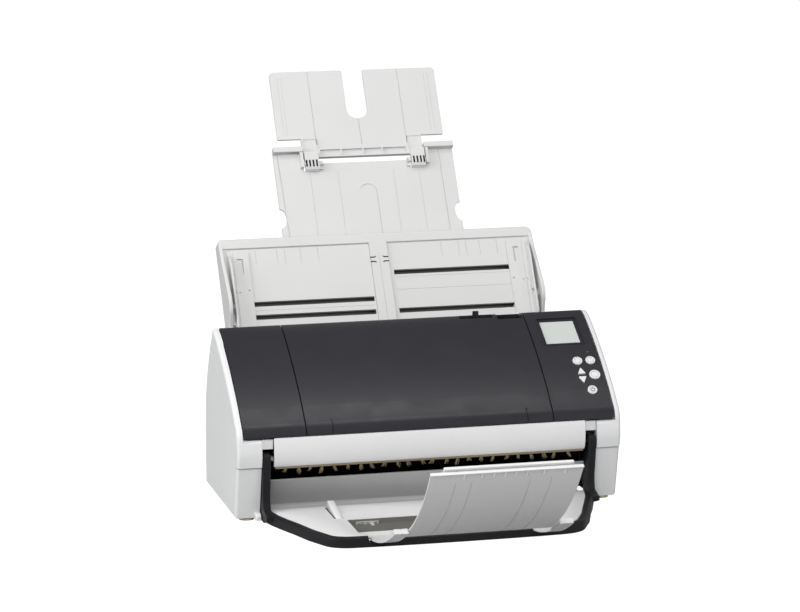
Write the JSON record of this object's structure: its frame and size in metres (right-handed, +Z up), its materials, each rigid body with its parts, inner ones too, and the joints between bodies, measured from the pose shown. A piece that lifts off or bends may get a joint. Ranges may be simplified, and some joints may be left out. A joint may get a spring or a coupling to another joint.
{
  "type": "sheet fed document scanner",
  "caption": "Wide desktop sheet-fed scanner with a hinged dark upper unit, sloped paper chute with sliding guides and extensions, and a curved fold-out stacker.",
  "frame": {"origin": "middle of the footprint of the whole object (stacker extension to chute extension), on the desk plane", "axes": "+X to the object's right seen from behind the stacker, +Y from the stacker towards the chute, +Z up"},
  "size_m": [0.38, 0.6075, 0.3854],
  "materials": {
    "white": "fine satin off-white moulded plastic",
    "side": "finely textured pale grey moulded plastic",
    "dark": "satin charcoal moulded plastic",
    "black": "black moulded plastic",
    "lcd": "pale grey-green display window",
    "glass": "clear float glass",
    "button": "light grey keys with pale rims",
    "led": "small tinted lens",
    "rubber": "grey roller rubber on a steel shaft",
    "steel": "plated steel",
    "brush": "tan fibre tufts",
    "board": "green circuit board",
    "foot": "yellowish rubber pad",
    "gear": "natural acetal"
  },
  "bodies": {
    "root": {"base_frame": "black", "left_side_cover": "side", "right_side_cover": "side", "left_hinge_pin": "steel", "right_hinge_pin": "steel", "rear_cover": "side", "lower_front_panel": "white", "foot_front_left": "foot", "foot_front_right": "foot", "foot_rear_left": "foot", "foot_rear_right": "foot", "power_inlet": "black", "usb_port": "steel", "control_board": "board", "drive_motor": "steel", "drive_belt": "rubber", "lower_paper_guide": "black", "lower_scan_glass": "glass", "chute_frame": "white", "chute_rear_cover": "white"},
    "upper_unit": {"upper_paper_guide": "black", "upper_scan_glass": "glass", "adf_left_cover": "dark", "adf_centre_cover": "dark", "operator_panel": "dark", "lcd_window": "lcd", "status_led": "led", "adf_front_panel": "white", "exit_brush": "brush"},
    "cover_open_lever": {"cover_open_lever": "dark"},
    "feed_mode_lever": {"feed_mode_lever": "black"},
    "feed_roller": {"feed_roller": "rubber"},
    "pick_roller": {"pick_roller": "rubber"},
    "eject_roller": {"eject_roller": "rubber"},
    "motor_pulley": {"motor_pulley": "steel"},
    "eject_idler": {"eject_idler": "rubber"},
    "brake_roller": {"brake_roller": "rubber"},
    "left_guide": {"left_side_guide": "white", "left_guide_rack": "gear"},
    "right_guide": {"right_side_guide": "white", "right_guide_rack": "gear"},
    "guide_pinion": {"guide_pinion": "gear"},
    "chute_extension_1": {"chute_extension_1": "white"},
    "chute_extension_2": {"chute_extension_2": "white"},
    "menu_button": {"menu_button": "button"},
    "function_button": {"function_button": "button"},
    "up_button": {"up_button": "button"},
    "down_button": {"down_button": "button"},
    "scan_button": {"scan_button": "button"},
    "power_button": {"power_button": "button"},
    "stacker": {"stacker_rim": "black", "stacker_tray": "white"},
    "stacker_left_fin": {"stacker_left_fin": "white"},
    "stacker_right_fin": {"stacker_right_fin": "white"},
    "stacker_stage_1": {"stacker_extension_1": "white"},
    "stacker_stage_2": {"stacker_extension_2": "white"},
    "stacker_stopper": {"stacker_stopper": "white"}
  },
  "joints": [
    {"name": "upper_unit_open", "type": "hinge", "parent": "root", "child": "upper_unit", "pos_m": [0, -0.023, 0.062], "axis": [1, 0, 0], "range_deg": [0, 85]},
    {"name": "cover_lever_pull", "type": "slide", "parent": "upper_unit", "child": "cover_open_lever", "axis": [0, -1, 0], "range_m": [0, 0.004]},
    {"name": "feed_mode_slide", "type": "slide", "parent": "upper_unit", "child": "feed_mode_lever", "axis": [1, 0, 0], "range_m": [-0.013, 0.013]},
    {"name": "feed_roller_spin", "type": "hinge", "parent": "root", "child": "feed_roller", "pos_m": [0, 0.08109, 0.09451], "axis": [1, 0, 0], "continuous": true},
    {"name": "pick_roller_spin", "type": "hinge", "parent": "root", "child": "pick_roller", "pos_m": [0, 0.11954, 0.11591], "axis": [1, 0, 0], "continuous": true},
    {"name": "eject_roller_spin", "type": "hinge", "parent": "root", "child": "eject_roller", "pos_m": [0, 0.00945, 0.05463], "axis": [1, 0, 0], "continuous": true},
    {"name": "motor_pulley_spin", "type": "hinge", "parent": "root", "child": "motor_pulley", "pos_m": [0, 0.07677, 0.03854], "axis": [1, 0, 0], "continuous": true},
    {"name": "eject_idler_spin", "type": "hinge", "parent": "upper_unit", "child": "eject_idler", "pos_m": [0, 0.00142, 0.06905], "axis": [1, 0, 0], "continuous": true},
    {"name": "brake_roller_spin", "type": "hinge", "parent": "upper_unit", "child": "brake_roller", "pos_m": [0, 0.0721, 0.11068], "axis": [1, 0, 0], "continuous": true},
    {"name": "left_guide_slide", "type": "slide", "parent": "root", "child": "left_guide", "axis": [-1, 0, 0], "range_m": [-0.1135, 0]},
    {"name": "right_guide_slide", "type": "slide", "parent": "root", "child": "right_guide", "axis": [1, 0, 0], "range_m": [-0.1135, 0]},
    {"name": "guide_pinion_turn", "type": "hinge", "parent": "root", "child": "guide_pinion", "pos_m": [0, 0.16467, 0.16173], "axis": [0, -0.8387, 0.5446], "range_deg": [-1100, 0]},
    {"name": "chute_extension_slide", "type": "slide", "parent": "root", "child": "chute_extension_1", "axis": [0, -0.5446, -0.8387], "range_m": [0, 0.064]},
    {"name": "chute_extension_fold", "type": "hinge", "parent": "chute_extension_1", "child": "chute_extension_2", "pos_m": [0, 0.24145, 0.29978], "axis": [1, 0, 0], "range_deg": [0, 175]},
    {"name": "menu_button_press", "type": "slide", "parent": "upper_unit", "child": "menu_button", "axis": [0, 0.5738, -0.819], "range_m": [0, 0.0008]},
    {"name": "function_button_press", "type": "slide", "parent": "upper_unit", "child": "function_button", "axis": [0, 0.5738, -0.819], "range_m": [0, 0.0008]},
    {"name": "up_button_press", "type": "slide", "parent": "upper_unit", "child": "up_button", "axis": [0, 0.6009, -0.7994], "range_m": [0, 0.0008]},
    {"name": "down_button_press", "type": "slide", "parent": "upper_unit", "child": "down_button", "axis": [0, 0.6142, -0.7892], "range_m": [0, 0.0008]},
    {"name": "scan_button_press", "type": "slide", "parent": "upper_unit", "child": "scan_button", "axis": [0, 0.6009, -0.7994], "range_m": [0, 0.0008]},
    {"name": "power_button_press", "type": "slide", "parent": "upper_unit", "child": "power_button", "axis": [0, 0.6981, -0.716], "range_m": [0, 0.0008]},
    {"name": "stacker_fold", "type": "hinge", "parent": "root", "child": "stacker", "pos_m": [0, -0.023, 0.062], "axis": [1, 0, 0], "range_deg": [-90, 0]},
    {"name": "stacker_stage_1_slide", "type": "hinge", "parent": "stacker", "child": "stacker_stage_1", "pos_m": [0, -0.108, 0.2445], "axis": [1, 0, 0], "range_deg": [0, 13]},
    {"name": "stacker_stage_2_slide", "type": "hinge", "parent": "stacker_stage_1", "child": "stacker_stage_2", "pos_m": [0, -0.108, 0.2445], "axis": [1, 0, 0], "range_deg": [0, 15]},
    {"name": "stopper_flip", "type": "hinge", "parent": "stacker_stage_2", "child": "stacker_stopper", "pos_m": [0, -0.30027, 0.11359], "axis": [1, 0, 0], "range_deg": [0, 80]},
    {"name": "left_fin_fold", "type": "hinge", "parent": "stacker", "child": "stacker_left_fin", "pos_m": [-0.0982, -0.062, 0.0068], "axis": [1, 0, 0], "range_deg": [-11.5, 0]},
    {"name": "right_fin_fold", "type": "hinge", "parent": "stacker", "child": "stacker_right_fin", "pos_m": [0.0982, -0.062, 0.0068], "axis": [1, 0, 0], "range_deg": [-11.5, 0]}
  ],
  "couplings": [
    {"joint": "pick_roller_spin", "follows": "feed_roller_spin", "ratio": 1},
    {"joint": "eject_roller_spin", "follows": "feed_roller_spin", "ratio": 1},
    {"joint": "motor_pulley_spin", "follows": "feed_roller_spin", "ratio": 1},
    {"joint": "eject_idler_spin", "follows": "feed_roller_spin", "ratio": -1.2857},
    {"joint": "right_guide_slide", "follows": "left_guide_slide", "ratio": 1},
    {"joint": "guide_pinion_turn", "follows": "left_guide_slide", "rad_per_m": 166.67}
  ]
}
